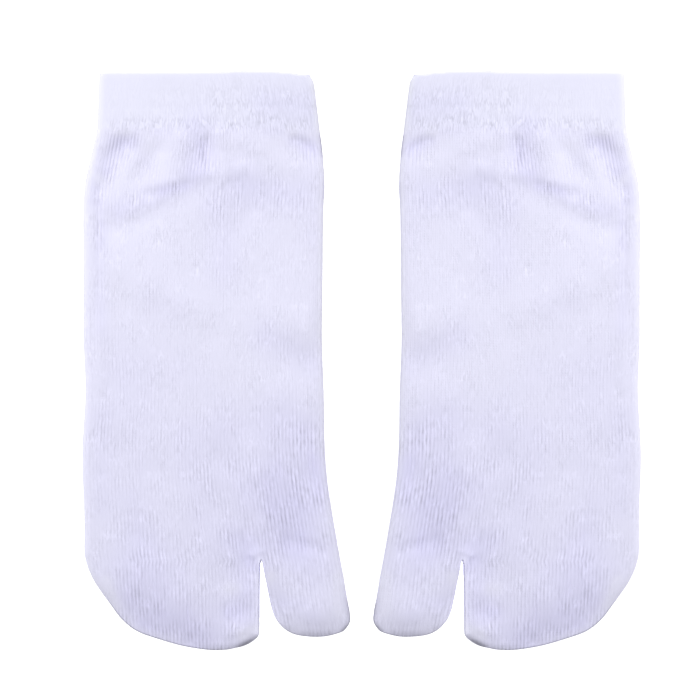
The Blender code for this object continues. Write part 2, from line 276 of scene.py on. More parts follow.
# Where the wales are drawn apart, so that the grooves between them are deeper and darker, with painted shade
# in creases, troughs and hollows. Rows below 0 close them again and take that painted shade away.
OPEN_KNIT_AND_SHADE = (
    # name                   along   out    along   out   width  openness
    ("leg trough", 96.5, 66.0, 79.0, 66.5, 6.2, 0.55),
    ("ankle crease outer", 60.5, 97.0, 72.6, 68.0, 5.0, 0.48),
    ("ankle crease inner", 71.0, 50.0, 66.5, 28.0, 7.5, 0.46),
    ("cuff valley outer", 89.0, 98.5, 88.6, 91.5, 3.6, 0.54),
    ("cuff valley inner", 88.8, 26.8, 85.4, 19.8, 3.2, 0.55),
    ("instep", 62.0, 56.5, 38.0, 55.0, 7.5, 0.26),
    ("inner hollow", 10.0, 38.0, 0.0, 18.0, 7.0, 0.34),
    ("inner foot", -26.0, 32.0, -70.0, 23.5, 14.0, 0.58),
    ("inner side", -28.0, 21.0, -57.0, 18.0, 6.0, 0.32),
    ("big toe base", -50.0, 37.0, -69.0, 30.0, 9.5, 0.50),
    ("ball inner", -28.0, 54.0, -68.0, 50.0, 9.5, 0.34),
    ("split", -76.0, 46.0, -98.0, 46.0, 9.0, 0.66),
    ("cuff inner", 103.0, 38.0, 102.0, 22.0, 7.5, 0.36),
    ("ball", -8.0, 92.0, -72.0, 86.0, 17.0, 0.26),
    ("ball middle", -30.0, 68.0, -76.0, 62.0, 9.0, 0.30),
    ("four toes", -86.0, 88.0, -110.0, 60.0, 16.0, 0.62),
    ("outer toes", -97.0, 93.0, -111.0, 66.0, 7.5, 0.45),
    ("big toe", -84.0, 22.0, -108.0, 18.0, 14.0, 0.26),
    ("big toe by split", -84.0, 37.5, -104.0, 31.0, 4.6, 0.12),
    ("leg side", 83.0, 101.0, 66.0, 106.5, 4.0, 0.46),
    ("leg inner", 86.0, 46.0, 58.0, 45.0, 8.0, 0.12),
    ("leg inner side", 82.0, 21.0, 50.0, 20.5, 5.0, 0.14),
    ("beside the trough", 87.0, 60.5, 62.0, 60.5, 4.2, 0.15),
    ("outer side", -22.0, 104.0, -58.0, 104.0, 5.5, 0.22),
    ("big toe tip", -96.5, 31.0, -101.0, 20.0, 5.0, 0.22),
    ("split top", -79.2, 45.0, -82.0, 42.2, 1.8, 0.55),
    ("leg side upper", 86.0, 94.0, 76.0, 101.0, 4.5, 0.24),
    ("ankle crease", 68.4, 80.0, 70.0, 70.6, 2.0, 0.42),
    ("trough foot", 86.5, 63.4, 77.0, 62.6, 2.3, 0.26),
    ("leg ridge's foot", 80.0, 87.0, 75.5, 83.5, 3.0, 0.20),
    ("outer side crease", 62.0, 104.4, 46.0, 104.4, 2.4, 0.26),
    ("big toe's knuckle", -76.5, 27.0, -85.0, 17.0, 8.0, 0.10),
    ("four toe corner", -108.6, 47.0, -107.2, 43.4, 3.0, -0.55),
    ("trough top", 100.0, 68.0, 97.0, 64.0, 4.0, -0.15),
    ("outer side upper", 54.0, 104.4, 14.0, 104.4, 3.0, 0.20),
    ("inner side lower", -40.0, 17.6, -52.0, 16.6, 3.6, 0.28),
    ("ball outer", -56.0, 93.0, -68.0, 90.0, 6.0, 0.12),
    ("foot middle", -4.0, 70.0, -16.0, 56.0, 7.5, 0.12),
    ("foot upper", 26.0, 84.0, 22.0, 76.0, 7.0, 0.10),
    ("above the split", -58.0, 46.0, -60.0, 24.0, 4.5, 0.12),
    ("cuff outer valley's foot", 86.0, 96.5, 84.0, 94.5, 2.5, 0.14),
    ("cuff lower edge outer", 92.0, 98.0, 92.0, 94.0, 2.4, -0.36),
    ("cuff lower edge", 91.8, 82.0, 91.8, 77.0, 2.6, 0.18),
    ("cuff lower edge middle", 92.0, 57.5, 92.0, 52.0, 2.6, 0.12),
    ("cuff lower edge inner", 92.0, 38.0, 92.0, 31.5, 2.2, 0.14),
    ("cuff lower edge end", 92.0, 28.6, 92.0, 27.2, 1.8, -0.50),
    ("leg side outer", 73.8, 105.6, 72.0, 103.8, 2.2, -0.46),
    ("leg inner side upper", 88.0, 19.0, 84.0, 18.0, 2.4, 0.20),
    ("outer toes' edge", -87.6, 102.0, -97.4, 98.2, 2.6, -0.50),
    ("outer toes' hollow", -104.6, 88.0, -105.4, 80.0, 3.4, 0.40),
    ("four toes by dip", -90.4, 53.0, -90.4, 50.8, 2.8, -0.45),
    ("four toes below dip", -99.8, 53.0, -99.8, 50.8, 2.6, 0.36),
    ("big toe's side", -86.0, 9.4, -99.0, 8.6, 2.2, -0.48),
    ("big toe's top by split", -86.6, 37.2, -85.4, 36.6, 2.6, -0.50),
    ("big toe's middle", -95.4, 31.5, -95.6, 23.5, 2.6, 0.12),
    ("inner side middle", 34.0, 18.4, 16.0, 18.4, 2.2, -0.14),
    ("sole edge outer", 25.0, 104.5, 10.0, 104.0, 4.0, 0.08),
)

# Where loops and short hairs stand out of the brushed surface.
FLECKS = (
    # name                   along   out    along   out   width  amount
    ("welt joint", 94.6, 98.0, 94.6, 22.0, 3.0, 1.00),
    ("cuff inner", 104.0, 52.0, 104.0, 24.0, 9.0, 0.70),
    ("cuff middle", 103.0, 74.0, 103.0, 58.0, 7.0, 0.30),
    ("cuff outer", 103.0, 100.0, 103.0, 80.0, 9.0, 0.16),
)

# Painted shade where the cloth turns under, and thin painted shadows along some edges.
EDGE_SHADES = (
    # name                   along   out    along   out   width  depth
    ("four toe corner", -114.2, 48.6, -109.4, 41.9, 1.5, 0.74),
    ("big toe end", -110.2, 24.0, -109.8, 12.5, 2.0, 0.42),
    ("big toe corner", -107.9, 7.6, -105.4, 5.0, 1.1, 0.60),
    ("big toe by split", -87.0, 37.6, -104.0, 33.0, 4.6, 0.08),
    ("split top", -79.8, 43.2, -82.0, 41.4, 1.1, 0.16),
    ("inner side under the cuff", 90.5, 16.6, 82.5, 15.5, 0.9, 0.75),
    ("inner side at the ankle", 71.5, 14.9, 66.0, 15.0, 0.7, 0.62),
)
TIP_LINE = (0.8, 0.60)     # width and depth of the painted shade all round the tips

# Painted highlight along the folded edges. The pairs say where a change starts and is full.
EDGE_HIGHLIGHT_REACH = 3.0            # how far in from an edge
RIM_HIGHLIGHT = 0.5              # of that painted highlight, on the mouth's rim
TIP_ALONG = (-88.0, -98.0)       # along Y: round the tips the painted highlight ends and the painted shade begins
TIP_FROM_SPLIT = (4.5, 9.0)      # and how far from the split
INNER_OUT = (70.0, 50.0)         # out from the mirror plane: the inner edge gets more painted highlight
INNER_HIGHLIGHT = (0.4, 0.8)      # by this share, and by this much more under the cuff
INNER_CUFF_ALONG = (86.0, 97.0)
INNER_FROM_SPLIT = (3.0, 9.0)
BIG_TOE_OUT = (40.5, 39.3)       # out from the mirror plane: the big toe's side of the split has no painted highlight

# Where the pouches sink towards their tips.
TOE_FALLS = (
    # name                   along   out    along   out   width  fall
    ("outer toes", -102.5, 101.0, -116.0, 72.0, 10.0, 2.30),
    ("middle toes", -116.0, 66.0, -117.5, 55.0, 6.5, 1.05),
    ("big toe", -113.0, 26.0, -110.5, 6.5, 8.0, 2.30),
)

# Hollows in the lower layer, lifted clear of the surface: the heel pouch lies folded in it.
UNDER_FOLDS = (
    # name                   along   out    along   out   width  rise
    ("heel fold upper", 84.0, 92.0, 81.0, 38.0, 3.6, 0.50),
    ("heel fold lower", 42.0, 90.0, 39.0, 48.0, 3.4, 0.45),
    ("heel fold slanting", 74.0, 97.0, 56.0, 103.0, 3.0, 0.45),
    ("heel fold inner", 70.0, 27.0, 50.0, 22.0, 3.2, 0.40),
    ("sole crease", 8.0, 88.0, 13.0, 60.0, 3.6, 0.30),
    ("ball crease", -42.0, 40.0, -40.0, 78.0, 4.2, 0.35),
    ("toe crease", -66.0, 96.0, -70.0, 62.0, 3.6, 0.35),
    ("heel suture outer", 57.0, 110.0, 66.0, 82.0, 0.8, 0.40),
    ("heel suture inner", 57.0, 16.5, 66.0, 44.0, 0.8, 0.40),
)

# The grooves on both sides of the seam that closes a pouch, under its tip.
TOE_SEAM_INSETS = (2.6, 4.8)
TOE_SEAM_WIDTH = 0.6
TOE_SEAM_DEPTH = 0.30
TOE_SEAM_START = -84.0     # along Y: from here towards the tips
TOE_SEAM_FULL = -88.0

# Soft unevenness of the whole upper layer.
UNDULATIONS = (
    # size of a hump, height, seed
    (17.0, 0.12, 11),
    (7.5, 0.07, 12),
    (3.4, 0.03, 13),
)
UNDULATION_START = (40.0, 20.0)          # in humps, where the noise is taken from
WANDER_SEED = 5
GROOVE_SEEDS = ((31, 33), (37, 39))      # of the lower layer and of the upper one: by wale and by patch

# Rows of the mesh: from one place along Y to the next, and the step between them.
OUTER_ROWS = (
    (MOUTH, 96.5, 2.0),
    (96.5, 90.5, 0.75),
    (90.5, 50.0, 1.35),
    (50.0, -66.0, 2.25),
    (-66.0, -74.1, 1.6),
    (-74.1, SPLIT_LEVEL, 0.6),
)
OUTER_POUCH_ROWS = 30
INNER_LEVEL = SPLIT_LEVEL + LEG_WALL
INNER_ROWS = (
    (MOUTH, 95.5, 4.6),
    (95.5, 90.5, 1.6),
    (90.5, 40.0, 7.0),
    (40.0, -40.0, 16.0),
    (-40.0, INNER_LEVEL, 7.0),
)
INNER_POUCH_ROWS = 5
POUCH_CROWDING = 1.7       # the more, the closer together a pouch's last rows
POUCH_SPREAD = 0.45        # of a pouch's length, over which its columns take on the tip's spacing
CLOSEST_ROW = 0.2          # how near to a pouch's top row the next point of its side may lie
RIM_STEPS = 6
CURVE_STEPS = 10           # points from one corner of an edge to the next
COLUMNS = WALES * WALE_SAMPLES
SPLIT_COLUMN = (WALES - BIG_TOE_WALES) * WALE_SAMPLES
FIRST_COLUMNS = (0, 0, SPLIT_COLUMN)     # of leg and foot, four-toe pouch and big-toe pouch

# Colours, as light that the cotton sends back.
COTTON_SHADE = (0.490, 0.466, 0.790, 1.0)
COTTON_PALE = (0.810, 0.809, 0.912, 1.0)
CUFF_PALE = (0.808, 0.817, 0.880, 1.0)
FLOOR_WHITE = (0.90, 0.90, 0.90, 1.0)

# The look of the knit. Unevenness is noise that runs with the wales and courses.
UNEVENNESS = {
    # name: noise for each wale, noise for each course, slice of the noise
    "strand": (1.90, 0.34, 3.0),
    "yarn": (1.00, 0.15, 9.0),
    "nap": (4.00, 2.00, 5.0),
    "loops": (1.00, 0.17, 17.0),
    "hairs": (1.10, 0.22, 23.0),
    "patch": (0.24, 0.09, 31.0),
    "tuft": (0.20, 0.16, 41.0),
}
PATCH_CONTRAST = (5.0, 1.55, 0.1)        # noise times the first, less the second, and at least the third
TUFT_CONTRAST = (3.0, 0.50, 0.0)
CURL_FINENESS = 11.0       # the more, the thinner the line of a loop
HAIR_SHARE = 0.6           # strength of the pale hairs beside the dark loops
LEG_PLACE = 0.24           # middle of a stitch's leg, in wales from the middle of its wale
LEG_HALF_WIDTH = 0.26
LEG_SLANT = 1.2            # in courses, for each wale across
BETWEEN_POWER = 0.9        # the more, the narrower the groove's shade
CUFF_DRAWN = 0.2           # how clearly stitches show on the brushed cuff, against 1 on the foot

# Heights in the bump.
LEG_HEIGHT = 0.40
STITCH_HEIGHT = 0.30       # added along a leg, once a course
LEG_UNEVENNESS = 2.5
STRAND_HEIGHT = 0.7
PATCH_SHARE = 0.7          # of the height, which varies from patch to patch
NAP_HEIGHT = 0.25
CURL_HEIGHT = 0.8
BUMP_STRENGTH = 0.5
BUMP_DISTANCE = 0.16 * MM

# Tones: how much darker a feature is at rest, and how much more where the wales are drawn apart.
# Painted shade in the grooves between the wales, and painted highlight on their tops.
GROOVE_SHADE_TONE = (0.03, 0.42)
STRAND_TONE = (0.22, 0.28)
YARN_TONE = (0.02, 0.62)
GROOVE_START = 0.53        # where its painted shade starts, from a wale's middle (0) to the groove's (1)
GROOVE_UNEVENNESS = 2.0
FLECK_TONE = 0.31          # of the loops, where flecks are
TUFT_TONE = 0.30           # of the pale loops in the foot's fullest tufts
TONE_STRENGTH = 0.46       # of all these together
EDGE_HIGHLIGHT = 0.065      # painted highlight of the folded edges
PAINTED_EDGE_SHADE = 0.7         # painted shade where the cloth turns under
LEAST_DIMNESS = -0.2       # as pale as the cotton gets

# Shares of COTTON_SHADE in the cotton's colour.
BASE_SHADE = 0.234
# painted shade in creases, troughs and hollows, where the wales are drawn apart
OPEN_SHADE = 0.25
CUFF_SHADE = 0.05
# darker where the flecks are, most towards the cuff's inner end
FLECK_SHADE = 0.04
EDGE_HIGHLIGHT_SHARE = 0.07          # taken away at the folded edges, as painted highlight

# The studio. Lengths are metres, and the lens and sensor millimetres.
FLOOR_SIZE = 3.0
FLOOR_HEIGHT = -0.00002    # just clear of the soles
FLOOR_GLOW = 0.95
ROOM_COLOUR = (1.0, 1.0, 1.0, 1.0)
ROOM_STRENGTH = 0.33
SOCK_LIGHTS = (
    # name, place, aimed at, size, power: for the left sock, and mirrored for the right one
    ("key", (0.418, 0.724, 0.996), (0.063, 0.0, 0.0), (0.3, 0.3), 13.8),
    ("fill", (-0.5, -0.5, 0.7), (0.063, 0.0, 0.0), (0.4, 0.4), 1.5),
)
CAMERA_LENS = 85.0
CAMERA_SENSOR = 36.0
CAMERA_PLACE = (-0.0047, 0.0048, 0.665)


def ease(value, start, end):
    """0 at start and 1 at end, with no kink at either."""
    share = np.clip((value - start) / (end - start), 0.0, 1.0)
    return share * share * (3.0 - 2.0 * share)


def rounded(share):
    """A quarter circle: 0 at an edge, 1 where the roll is over."""
    left = 1.0 - np.clip(share, 0.0, 1.0)
    return np.sqrt(1.0 - left * left)


def noise(u, v, seed):
    """Smooth unevenness from -1 to 1, with a hump about every unit of u and v."""
    size = 128
    table = np.random.default_rng(seed).uniform(-1.0, 1.0, (size, size))
    low_u, low_v = np.floor(u).astype(int), np.floor(v).astype(int)
    part_u, part_v = ease(u - low_u, 0.0, 1.0), ease(v - low_v, 0.0, 1.0)

    def corner(step_u, step_v):
        return table[(low_u + step_u) % size, (low_v + step_v) % size]

    near = corner(0, 0) * (1 - part_u) + corner(1, 0) * part_u
    far = corner(0, 1) * (1 - part_u) + corner(1, 1) * part_u
    return near * (1 - part_v) + far * part_v


# The plan of one sock, in (along, out).

def smooth_curve(corners):
    """A smooth curve through the corners, with CURVE_STEPS points from each to the next."""
    corners = np.array(corners, float)
    padded = np.vstack([2 * corners[0] - corners[1], corners, 2 * corners[-1] - corners[-2]])
    points = [corners[0]]
    for before, start, end, after in zip(padded, padded[1:], padded[2:], padded[3:]):
        for share in np.arange(1, CURVE_STEPS + 1) / CURVE_STEPS:
            points.append(0.5 * (
                2 * start + (end - before) * share
                + (2 * before - 5 * start + 4 * end - after) * share ** 2
                + (3 * start - before - 3 * end + after) * share ** 3
            ))
    return np.array(points)


def by_length(path, shares):
    """Points of a path at shares of its length."""
    run = np.concatenate([[0.0], np.cumsum(np.linalg.norm(np.diff(path, axis=0), axis=1))])
    return np.column_stack([np.interp(shares * run[-1], run, path[:, axis]) for axis in (0, 1)])


def wall(along):
    """The knit's thickness: the cuff is double."""
    return LEG_WALL + (CUFF_WALL - LEG_WALL) * ease(along, *WALL_GROWTH)


class Edge:
    """One edge of a skin, from the mouth to the top of the split, with its pouch's two corners."""

    def __init__(self, rows, pouch_corners, inward_side, depth):
        corners = [*rows, SPLIT_TOP]
        path = smooth_curve(corners)
        if depth:
            run = np.gradient(path, axis=0)
            turned = np.column_stack([-run[:, 1], run[:, 0]]) * inward_side
            turned[0] = (0.0, -inward_side)
            turned /= np.linalg.norm(turned, axis=1)[:, None]
            path = path + turned * depth(path[:, 0])[:, None]
            path[-1] = (SPLIT_LEVEL + depth(path[-1:, 0])[0], SPLIT_TOP[1])
        self.path = path
        self.marks = sorted(corners.index(corner) * CURVE_STEPS for corner in pouch_corners)

    def out_at(self, along):
        side = self.path[:self.marks[0]]
        return np.interp(-along, -side[:, 0], side[:, 1])

    def side_below(self, level):
        """Down the side from a level to the pouch's first corner."""
        side = self.path[:self.marks[0] + 1]
        return np.vstack([[level, self.out_at(level)], side[side[:, 0] < level - CLOSEST_ROW]])

    def tip(self):
        return self.path[self.marks[0]:self.marks[1] + 1]

    def split(self):
        """Down from the top of the split to the pouch's second corner."""
        return self.path[self.marks[1]:][::-1]


def column_shares(outer, inner, level, roll):
    """The share of the way round the upper layer at which each column lies, the split's on its top."""
    edge_out, edge_in = outer.out_at(level), inner.out_at(level)
    extra = (ROLL_ARC - 1.0) * roll
    split_share = (edge_out - SPLIT_TOP[1] + extra) / (edge_out - edge_in + 2 * extra)
    return np.concatenate([
        np.linspace(0.0, split_share, SPLIT_COLUMN + 1),
        np.linspace(split_share, 1.0, COLUMNS - SPLIT_COLUMN + 1)[1:],
    ])


def across(share, width, roll):
    """How far in from the first edge a column lies. The plan crowds where the cloth rolls away."""
    arc = ROLL_ARC * roll
    full = width + 2 * (arc - roll)
    run = share * full
    from_edge = np.minimum(run, full - run)
    rolled = roll * (1.0 - np.cos(np.pi / 2 * np.minimum(from_edge / arc, 1.0)))
    inset = rolled + np.maximum(from_edge - arc, 0.0)
    return np.where(run < full / 2, inset, width - inset)


def row_places(stretches):
    """Places along Y of a skin's rows, from its table of stretches."""
    places = [stretches[0][0]]
    for start, end, step in stretches:
        count = round((start - end) / step)
        places += list(np.linspace(start, end, count + 1)[1:])
    return np.array(places)


def bowed(places):
    """Places with the rise of the mouth's line added."""
    along, out = places[..., 0], places[..., 1]
    rise = np.interp(out, *zip(*MOUTH_LINE)) * ease(along, MOUTH_REACH, MOUTH)
    return np.stack([along + rise, out], axis=-1)


def body_plan(outer, inner, alongs, shares, roll):
    """The leg and foot: every row's columns, spread from one edge to the other."""
    out_a, out_b = outer.out_at(alongs), inner.out_at(alongs)
    inset = across(shares[None, :], (out_a - out_b)[:, None], roll)
    outs = out_a[:, None] - inset
    return np.stack([np.broadcast_to(alongs[:, None], outs.shape), outs], axis=2)


def pouch_plan(top, first_side, tip, last_side, rows, roll):
    """A pouch between its top row of points, its two sides and its tip, each side running down."""
    down = 1.0 - (1.0 - np.arange(rows + 1) / rows) ** POUCH_CROWDING
    side_a, side_b = by_length(first_side, down), by_length(last_side, down)
    count = len(top)
    top_share = (top[:, 1] - top[0, 1]) / (top[-1, 1] - top[0, 1])
    tip_width = abs(tip[-1, 1] - tip[0, 1])
    tip_share = across(np.linspace(0.0, 1.0, count), tip_width, roll) / tip_width
    by_out = tip[np.argsort(tip[:, 1])]
    plan = np.empty((rows + 1, count, 2))
    for row, share in enumerate(down):
        spread = ease(share, 0.0, POUCH_SPREAD)
        crossing = (top_share + (tip_share - top_share) * spread)[:, None]
        line = side_a[row] + (side_b[row] - side_a[row]) * crossing
        tip_line = tip[0] + (tip[-1] - tip[0]) * crossing
        sag = np.interp(tip_line[:, 1], by_out[:, 1], by_out[:, 0]) - tip_line[:, 0]
        line[:, 0] += sag * share
        plan[row] = line
    plan[0] = top
    return plan


def skin_plan(depth, row_table, pouch_rows, level, roll):
    """A skin's three stretches (leg and foot, four-toe pouch, big-toe pouch) and its edge line."""
    outer = Edge(OUTER_EDGE, FOUR_TOE_CORNERS, 1, depth)
    inner = Edge(INNER_EDGE, BIG_TOE_CORNERS, -1, depth)
    shares = column_shares(outer, inner, level, roll)
    body = body_plan(outer, inner, row_places(row_table), shares, roll)
    four_top, big_top = body[-1, :SPLIT_COLUMN + 1], body[-1, SPLIT_COLUMN:]
    four = pouch_plan(four_top, outer.side_below(level), outer.tip(), outer.split(), pouch_rows, roll)
    big_tip = inner.tip()[::-1]
    big = pouch_plan(big_top, inner.split(), big_tip, inner.side_below(level), pouch_rows, roll)
    return (bowed(body), four, big), bowed(np.vstack([outer.path, inner.path[::-1][1:]]))


# The layers' heights over the surface.

def gap(along):
    """The hollow between the two layers."""
    foot = LEG_GAP + (TOE_GAP - LEG_GAP) * ease(along, TOE_START, TOE_FULL)
    return foot + (CUFF_GAP - LEG_GAP) * ease(along, CUFF_LOWER_EDGE, CUFF_LOWER_EDGE + CUFF_FALL)


def mid_height(along):
    return wall(along) + gap(along) / 2


def distance_to(places, start, end):
    """How far each place lies from the line between two ends."""
    start, run = np.array(start), np.subtract(end, start)
    share = np.clip((places - start) @ run / (run @ run), 0.0, 1.0)
    return np.linalg.norm(places - start - share[..., None] * run, axis=-1)


def inset_from(places, edge):
    """How far in from a skin's edge line each place lies."""
    near = np.full(places.shape[:-1], np.inf)
    for start, end in zip(edge, edge[1:]):
        near = np.minimum(near, distance_to(places, start, end))
    return near


def relief(places, folds):
    """The sum of a table's rows at each place. A row fades out all round the line between its two ends."""
    total = np.zeros(places.shape[:-1])
    for _, start_along, start_out, end_along, end_out, width, rise in folds:
        spacing = distance_to(places, (start_along, start_out), (end_along, end_out))
        total += rise * np.exp(-(spacing / width) ** 2)
    return total


def undulation(places):
    total = np.zeros(places.shape[:-1])
    start_along, start_out = UNDULATION_START
    for size, height, seed in UNDULATIONS:
        total += height * noise(places[..., 0] / size + start_along, places[..., 1] / size + start_out, seed)
    return total


def upper_face(places, inset):
    along = places[..., 0]
    middle = mid_height(along)
    top = 2 * wall(along) + gap(along)
    toes = ease(along, TOE_ROLL_START, TOE_ROLL_FULL)
    roll = SIDE_ROLL + (TOE_ROLL - SIDE_ROLL) * toes
    from_split = distance_to(places, SPLIT_TOP, SPLIT_END)
    roll = SPLIT_ROLL + (roll - SPLIT_ROLL) * ease(from_split, *SPLIT_REACH)
    fall = np.minimum(relief(places, TOE_FALLS), TOE_FALL_LIMIT * (top - middle))
    folds = relief(places, UPPER_FOLDS) + relief(places, MINOR_FOLDS) + undulation(places)
    return middle + (top - middle - fall) * rounded(inset / roll) + folds * ease(inset, 0.0, FOLD_MARGIN)


def toe_seam(places, inset):
    """The two grooves beside the seam that closes the pouches, on their under side."""
    total = np.zeros(inset.shape)
    for line in TOE_SEAM_INSETS:
        total += TOE_SEAM_DEPTH * np.exp(-((inset - line) / TOE_SEAM_WIDTH) ** 2)
    return total * ease(places[..., 0], TOE_SEAM_START, TOE_SEAM_FULL)


def lower_face(places, inset):
    middle = mid_height(places[..., 0])
    hollows = relief(places, UNDER_FOLDS) * ease(inset, 0.0, FOLD_MARGIN) + toe_seam(places, inset)
    return middle * (1.0 - rounded(inset / UNDER_ROLL)) + hollows


def hollow_ceiling(places, inset):
    along = places[..., 0]
    middle, thick = mid_height(along), wall(along)
    outside = upper_face(places, inset + thick)
    flat = np.maximum(outside - thick, thick + LEAST_GAP)
    return middle + (flat - middle) * rounded(inset / INNER_ROLL)


def hollow_floor(places, inset):
    along = places[..., 0]
    middle, thick = mid_height(along), wall(along)
    return middle - (middle - thick) * rounded(inset / INNER_ROLL)


# The mesh of one sock.

def knit_state(places):
    """Share of the cuff, openness of the wales with its painted shade, and amount of flecks."""
    along = places[..., 0]
    cuff = ease(along, CUFF_LOWER_EDGE - CUFF_EDGE / 2, CUFF_LOWER_EDGE + CUFF_EDGE / 2)
    return cuff, np.clip(relief(places, OPEN_KNIT_AND_SHADE), 0.0, 1.0), np.clip(relief(places, FLECKS), 0.0, 1.0)


def edge_highlight_and_shade(places, inset):
    """Painted highlight of the folded edges, most at the cuff's inner end; below 0, painted shade where the
    cloth turns under.
    """
    along, out = places[..., 0], places[..., 1]
    from_split = distance_to(places, SPLIT_TOP, SPLIT_END)
    tip = ease(along, *TIP_ALONG) * ease(from_split, *TIP_FROM_SPLIT)
    at_foot, at_cuff = INNER_HIGHLIGHT
    highlight_share = at_foot + at_cuff * ease(along, *INNER_CUFF_ALONG)
    inner = ease(out, *INNER_OUT) * highlight_share * ease(from_split, *INNER_FROM_SPLIT)
    big_toe = ease(out, *BIG_TOE_OUT) * ease(from_split, *INNER_FROM_SPLIT[::-1])
    # pale is the edges' painted highlight; dark is the painted shade along the tips and edges.
    pale = ease(inset, EDGE_HIGHLIGHT_REACH, 0.0) * (1.0 - tip) * (1.0 + inner) * (1.0 - big_toe)
    width, depth = TIP_LINE
    shade = relief(places, EDGE_SHADES)
    dark = np.maximum(shade, depth * tip * ease(inset, width, 0.0))
    return pale * (1.0 - np.minimum(shade, 1.0)) - dark


def number_sheet(first, plans, border=None):
    """Vertex numbers of a layer's three stretches, its edges the border layer's; and the next free number."""
    body, four, big = sheets = [np.full(plan.shape[:2], -1) for plan in plans]
    if border:
        for own, other in zip(sheets, border):
            own[:, 0], own[:, -1] = other[:, 0], other[:, -1]
        four[-1], big[-1] = border[1][-1], border[2][-1]
        body[-1, SPLIT_COLUMN] = border[0][-1, SPLIT_COLUMN]
    for own in sheets:
        if own is not body:
            own[0] = body[-1, :SPLIT_COLUMN + 1] if own is four else body[-1, SPLIT_COLUMN:]
        free = own < 0
        own[free] = first + np.arange(free.sum())
        first += free.sum()
    return sheets, first


def course_counts(plans):
    """Courses counted down each wale from the mouth."""
    def counted(plan, start):
        steps = np.linalg.norm(np.diff(plan, axis=0), axis=2) / COURSE
        return start + np.vstack([np.zeros(plan.shape[1]), np.cumsum(steps, axis=0)])

    body = counted(plans[0], np.zeros(plans[0].shape[1]))
    four = counted(plans[1], body[-1, :SPLIT_COLUMN + 1])
    big = counted(plans[2], body[-1, SPLIT_COLUMN:])
    return body, four, big


def quads(numbers, flip):
    """Faces over a grid of vertex numbers."""
    faces = np.stack([numbers[:-1, :-1], numbers[:-1, 1:], numbers[1:, 1:], numbers[1:, :-1]], axis=-1)
    faces = faces.reshape(-1, 4)
    return faces[:, ::-1] if flip else faces


def vertex_normals(points, faces):
    corners = points[faces]
    turns = np.cross(corners[:, 2] - corners[:, 0], corners[:, 3] - corners[:, 1])
    total = np.zeros_like(points)
    for corner in range(4):
        np.add.at(total, faces[:, corner], turns)
    length = np.linalg.norm(total, axis=1)
    return total / np.maximum(length, np.finfo(float).tiny)[:, None]


